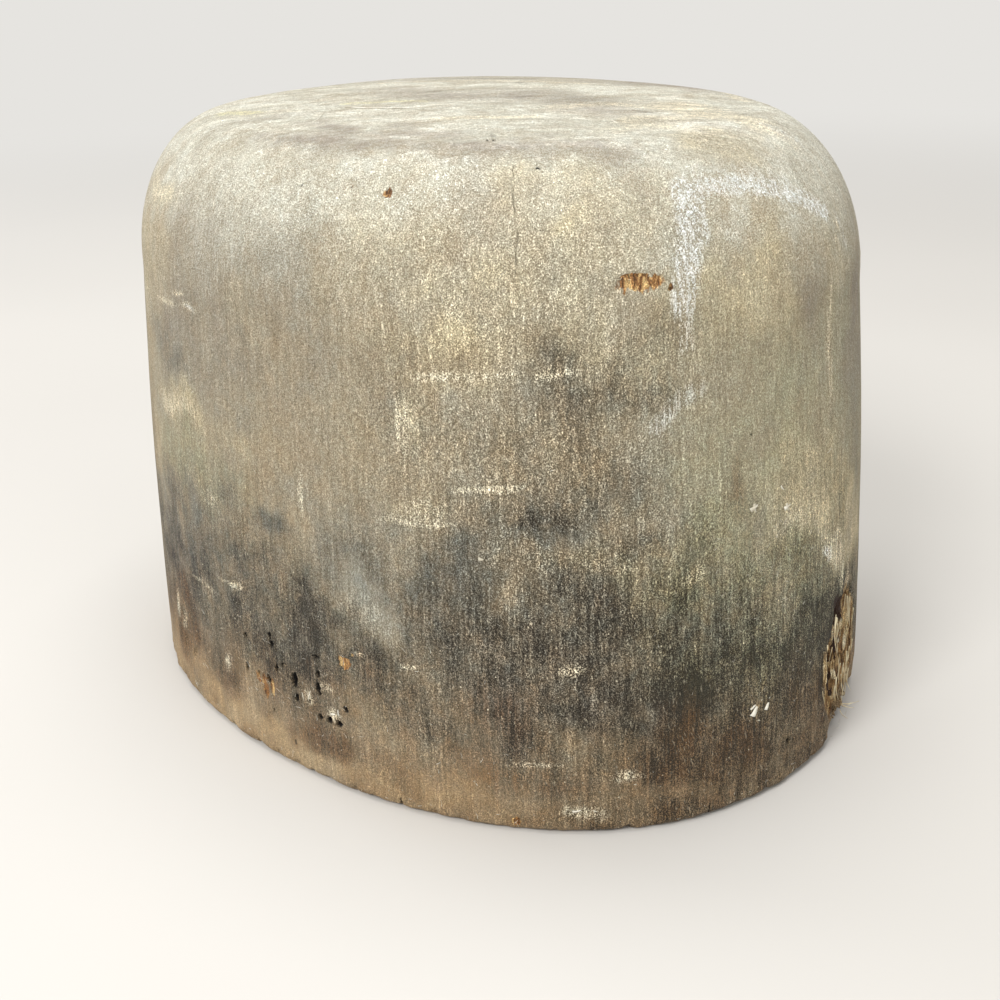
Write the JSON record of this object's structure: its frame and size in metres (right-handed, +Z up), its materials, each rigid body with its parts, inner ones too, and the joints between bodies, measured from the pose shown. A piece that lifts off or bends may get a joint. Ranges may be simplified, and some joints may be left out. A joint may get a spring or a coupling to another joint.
{
  "type": "hat block",
  "caption": "Wooden crown block of oval plan with a rounded shoulder and a slightly domed top, socketed in its base for a spindle.",
  "frame": {"origin": "centre of the block's base, on the surface it stands on", "axes": "+Z up through the crown, +X towards the narrower front end along the length, Y across the width"},
  "size_m": [0.192, 0.1572, 0.14],
  "materials": {
    "wood": "bare, worn and stained",
    "plate_iron": "dull, rusted",
    "screw_steel": "tarnished"
  },
  "bodies": {
    "root": {"block_body": "wood", "socket_plate": "plate_iron", "plate_screw_1": "screw_steel", "plate_screw_2": "screw_steel", "plate_screw_3": "screw_steel", "plate_screw_4": "screw_steel"}
  },
  "joints": []
}
